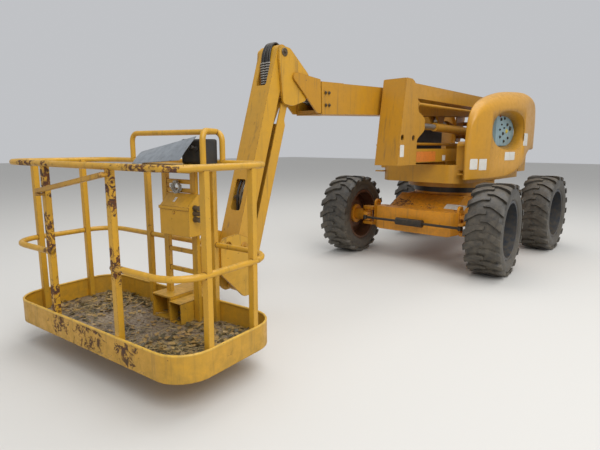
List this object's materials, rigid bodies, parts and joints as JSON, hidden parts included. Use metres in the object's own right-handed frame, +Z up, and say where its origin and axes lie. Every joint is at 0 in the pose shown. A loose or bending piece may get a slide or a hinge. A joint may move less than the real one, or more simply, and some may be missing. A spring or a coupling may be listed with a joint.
{
  "type": "articulating boom lift with a jib",
  "caption": "Self-propelled articulating boom lift: steered wheeled chassis, slewing turret, levelled arms, telescoping boom, jib and rotating basket.",
  "frame": {"origin": "on the ground under the slew centre, midway between the axles", "axes": "+X towards the basket, +Y to the side with the ground controls, +Z up"},
  "size_m": [6.5611, 2.3515, 2.2384],
  "materials": {
    "tyre_rubber": "dusty black",
    "rim_paint": "worn dark blue-grey paint",
    "chassis_paint": "worn orange-yellow paint",
    "turret_paint": "ochre paint",
    "basket_paint": "worn yellow paint",
    "weight_iron": "ochre paint on cast iron",
    "dark_iron": "oily dark iron",
    "bright_rod": "hard chrome",
    "hood_plastic": "ochre glass-fibre shell",
    "console_plastic": "painted yellow housing",
    "panel_plastic": "light blue-grey"
  },
  "bodies": {
    "chassis": {"chassis_frame": "chassis_paint", "front_axle": "chassis_paint", "rear_axle": "chassis_paint", "slew_ring": "dark_iron", "steering_cylinder": "dark_iron"},
    "steering_rod": {"tie_rods": "dark_iron"},
    "knuckle_left": {"knuckle_left": "dark_iron"},
    "wheel_front_left": {"tyre_front_left": "tyre_rubber", "rim_front_left": "rim_paint"},
    "wheel_rear_left": {"tyre_rear_left": "tyre_rubber", "rim_rear_left": "rim_paint"},
    "knuckle_right": {"knuckle_right": "dark_iron"},
    "wheel_front_right": {"tyre_front_right": "tyre_rubber", "rim_front_right": "rim_paint"},
    "wheel_rear_right": {"tyre_rear_right": "tyre_rubber", "rim_rear_right": "rim_paint"},
    "turret": {"turntable_frame": "turret_paint", "turntable_tub": "turret_paint", "counterweight": "weight_iron", "engine_block": "dark_iron", "control_panel": "panel_plastic"},
    "lower_arm": {"lower_arm": "turret_paint"},
    "upright": {"upright": "turret_paint"},
    "upper_arm": {"upper_arm": "turret_paint"},
    "rear_knuckle": {"rear_knuckle": "turret_paint"},
    "upper_link": {"upper_link": "turret_paint"},
    "lower_link": {"lower_link": "turret_paint"},
    "arm_ram_barrel": {"arm_ram_barrel": "turret_paint"},
    "arm_ram_rod": {"arm_ram_rod": "bright_rod"},
    "boom_outer": {"boom_outer": "turret_paint"},
    "boom_inner": {"boom_inner": "basket_paint"},
    "boom_ram_barrel": {"boom_ram_barrel": "turret_paint"},
    "boom_ram_rod": {"boom_ram_rod": "bright_rod"},
    "jib_knuckle": {"jib_knuckle": "basket_paint"},
    "level_ram_barrel": {"level_ram_barrel": "dark_iron"},
    "level_ram_rod": {"level_ram_rod": "bright_rod"},
    "jib": {"jib": "basket_paint"},
    "jib_link": {"jib_link": "basket_paint"},
    "basket_carrier": {"basket_carrier": "basket_paint"},
    "jib_ram_barrel": {"jib_ram_barrel": "basket_paint"},
    "jib_ram_rod": {"jib_ram_rod": "bright_rod"},
    "basket": {"basket_floor": "basket_paint", "basket_rails": "basket_paint", "basket_foot": "basket_paint", "console": "console_plastic"},
    "hood_left": {"hood_left": "hood_plastic"},
    "hood_right": {"hood_right": "hood_plastic"}
  },
  "joints": [
    {"name": "steer_left", "type": "hinge", "parent": "chassis", "child": "knuckle_left", "pos_m": [0.94, 0.7, 0.51], "axis": [0, 0, 1], "range_deg": [-35, 25]},
    {"name": "wheel_front_left_spin", "type": "hinge", "parent": "knuckle_left", "child": "wheel_front_left", "pos_m": [0.91804, 0.95104, 0.51], "axis": [-0.0872, 0.9962, 0], "continuous": true},
    {"name": "wheel_rear_left_spin", "type": "hinge", "parent": "chassis", "child": "wheel_rear_left", "pos_m": [-0.94, 0.952, 0.51], "axis": [0, 1, 0], "continuous": true},
    {"name": "steer_right", "type": "hinge", "parent": "chassis", "child": "knuckle_right", "pos_m": [0.94, -0.7, 0.51], "axis": [0, 0, 1], "range_deg": [-35, 25]},
    {"name": "wheel_front_right_spin", "type": "hinge", "parent": "knuckle_right", "child": "wheel_front_right", "pos_m": [0.9567, -0.95145, 0.51], "axis": [-0.0663, 0.9978, 0], "continuous": true},
    {"name": "wheel_rear_right_spin", "type": "hinge", "parent": "chassis", "child": "wheel_rear_right", "pos_m": [-0.94, -0.952, 0.51], "axis": [0, 1, 0], "continuous": true},
    {"name": "steering_rod_slide", "type": "slide", "parent": "chassis", "child": "steering_rod", "axis": [0, 1, 0], "range_m": [-0.11, 0.09]},
    {"name": "turret_slew", "type": "hinge", "parent": "chassis", "child": "turret", "pos_m": [0, 0, 0.9], "axis": [0, 0, 1], "continuous": true},
    {"name": "arms_raise", "type": "hinge", "parent": "turret", "child": "lower_arm", "pos_m": [-0.85, 0.16, 1.31], "axis": [0, -1, 0], "range_deg": [0, 65]},
    {"name": "upright_level", "type": "hinge", "parent": "lower_arm", "child": "upright", "pos_m": [1.72, 0.16, 1.31], "axis": [0, -1, 0], "range_deg": [-66, 1]},
    {"name": "upper_arm_raise", "type": "hinge", "parent": "upright", "child": "upper_arm", "pos_m": [1.64, 0.16, 1.99], "axis": [0, -1, 0], "range_deg": [-66, 1]},
    {"name": "rear_knuckle_level", "type": "hinge", "parent": "upper_arm", "child": "rear_knuckle", "pos_m": [-0.93, 0.16, 1.99], "axis": [0, -1, 0], "range_deg": [-1, 66]},
    {"name": "upper_link_turn", "type": "hinge", "parent": "upright", "child": "upper_link", "pos_m": [1.52, 0.16, 1.86], "axis": [0, -1, 0], "range_deg": [-66, 1]},
    {"name": "lower_link_turn", "type": "hinge", "parent": "turret", "child": "lower_link", "pos_m": [-0.97, 0.16, 1.44], "axis": [0, -1, 0], "range_deg": [-1, 66]},
    {"name": "arm_ram_swing", "type": "hinge", "parent": "lower_arm", "child": "arm_ram_barrel", "pos_m": [-0.45, 0.16, 1.6], "axis": [0, -1, 0], "range_deg": [-1, 1.77]},
    {"name": "arm_ram_stroke", "type": "slide", "parent": "arm_ram_barrel", "child": "arm_ram_rod", "axis": [0.9996, 0, 0.0289], "range_m": [-0.005, 0.4749]},
    {"name": "boom_raise", "type": "hinge", "parent": "rear_knuckle", "child": "boom_outer", "pos_m": [-1, -0.18, 2], "axis": [0, -1, 0], "range_deg": [0, 70]},
    {"name": "boom_ram_swing", "type": "hinge", "parent": "rear_knuckle", "child": "boom_ram_barrel", "pos_m": [-0.93, -0.18, 1.56], "axis": [0, -1, 0], "range_deg": [-1, 59.42]},
    {"name": "boom_ram_stroke", "type": "slide", "parent": "boom_ram_barrel", "child": "boom_ram_rod", "axis": [0.9826, 0, 0.1856], "range_m": [-0.005, 0.4459]},
    {"name": "telescope", "type": "slide", "parent": "boom_outer", "child": "boom_inner", "axis": [0.9991, 0, -0.0419], "range_m": [0, 2.6]},
    {"name": "jib_level", "type": "hinge", "parent": "boom_inner", "child": "jib_knuckle", "pos_m": [2.98, -0.18, 1.975], "axis": [0, -1, 0], "range_deg": [-71, 1]},
    {"name": "level_ram_swing", "type": "hinge", "parent": "boom_inner", "child": "level_ram_barrel", "pos_m": [2.38, -0.18, 1.795], "axis": [0, -1, 0], "range_deg": [-1, 10.72]},
    {"name": "level_ram_stroke", "type": "slide", "parent": "level_ram_barrel", "child": "level_ram_rod", "axis": [0.9979, 0, 0.0644], "range_m": [-0.1377, 0.005]},
    {"name": "jib_raise", "type": "hinge", "parent": "jib_knuckle", "child": "jib", "pos_m": [3.231, -0.18, 2.176], "axis": [0, -1, 0], "range_deg": [0, 135]},
    {"name": "jib_link_turn", "type": "hinge", "parent": "jib_knuckle", "child": "jib_link", "pos_m": [3.18453, -0.18, 1.80055], "axis": [0, -1, 0], "range_deg": [-1, 136]},
    {"name": "carrier_level", "type": "hinge", "parent": "jib", "child": "basket_carrier", "pos_m": [3.70328, -0.18, 0.61174], "axis": [0, -1, 0], "range_deg": [-136, 1]},
    {"name": "jib_ram_swing", "type": "hinge", "parent": "jib_knuckle", "child": "jib_ram_barrel", "pos_m": [3.18453, -0.18, 1.80055], "axis": [0, -1, 0], "range_deg": [-1, 131.26]},
    {"name": "jib_ram_stroke", "type": "slide", "parent": "jib_ram_barrel", "child": "jib_ram_rod", "axis": [0.4447, 0, -0.8957], "range_m": [-0.005, 0.6968]},
    {"name": "basket_rotate", "type": "hinge", "parent": "basket_carrier", "child": "basket", "pos_m": [4.015, -0.15, 0.4], "axis": [0, 0, 1], "range_deg": [-97, 83]},
    {"name": "hood_left_open", "type": "hinge", "parent": "turret", "child": "hood_left", "pos_m": [0.928, 0.598, 1.4], "axis": [0, 0, -1], "range_deg": [0, 60]},
    {"name": "hood_right_open", "type": "hinge", "parent": "turret", "child": "hood_right", "pos_m": [0.928, -0.598, 1.4], "axis": [0, 0, 1], "range_deg": [0, 60]}
  ],
  "couplings": [
    {"joint": "steer_right", "follows": "steer_left", "ratio": 1},
    {"joint": "steering_rod_slide", "follows": "steer_left", "m_per_rad": 0.166},
    {"joint": "upright_level", "follows": "arms_raise", "ratio": -1},
    {"joint": "upper_arm_raise", "follows": "arms_raise", "ratio": -1},
    {"joint": "rear_knuckle_level", "follows": "arms_raise", "ratio": 1},
    {"joint": "upper_link_turn", "follows": "arms_raise", "ratio": -1},
    {"joint": "lower_link_turn", "follows": "arms_raise", "ratio": 1},
    {"joint": "arm_ram_swing", "follows": "arms_raise", "ratio": 0.011872},
    {"joint": "arm_ram_stroke", "follows": "arms_raise", "m_per_rad": 0.41421},
    {"joint": "boom_ram_swing", "follows": "boom_raise", "ratio": 0.83463},
    {"joint": "boom_ram_stroke", "follows": "boom_raise", "m_per_rad": 0.36091},
    {"joint": "jib_level", "follows": "boom_raise", "ratio": -1},
    {"joint": "level_ram_swing", "follows": "boom_raise", "ratio": 0.13885},
    {"joint": "level_ram_stroke", "follows": "boom_raise", "m_per_rad": -0.1086},
    {"joint": "jib_link_turn", "follows": "jib_raise", "ratio": 1},
    {"joint": "carrier_level", "follows": "jib_raise", "ratio": -1},
    {"joint": "jib_ram_swing", "follows": "jib_raise", "ratio": 0.96489},
    {"joint": "jib_ram_stroke", "follows": "jib_raise", "m_per_rad": 0.29361}
  ]
}
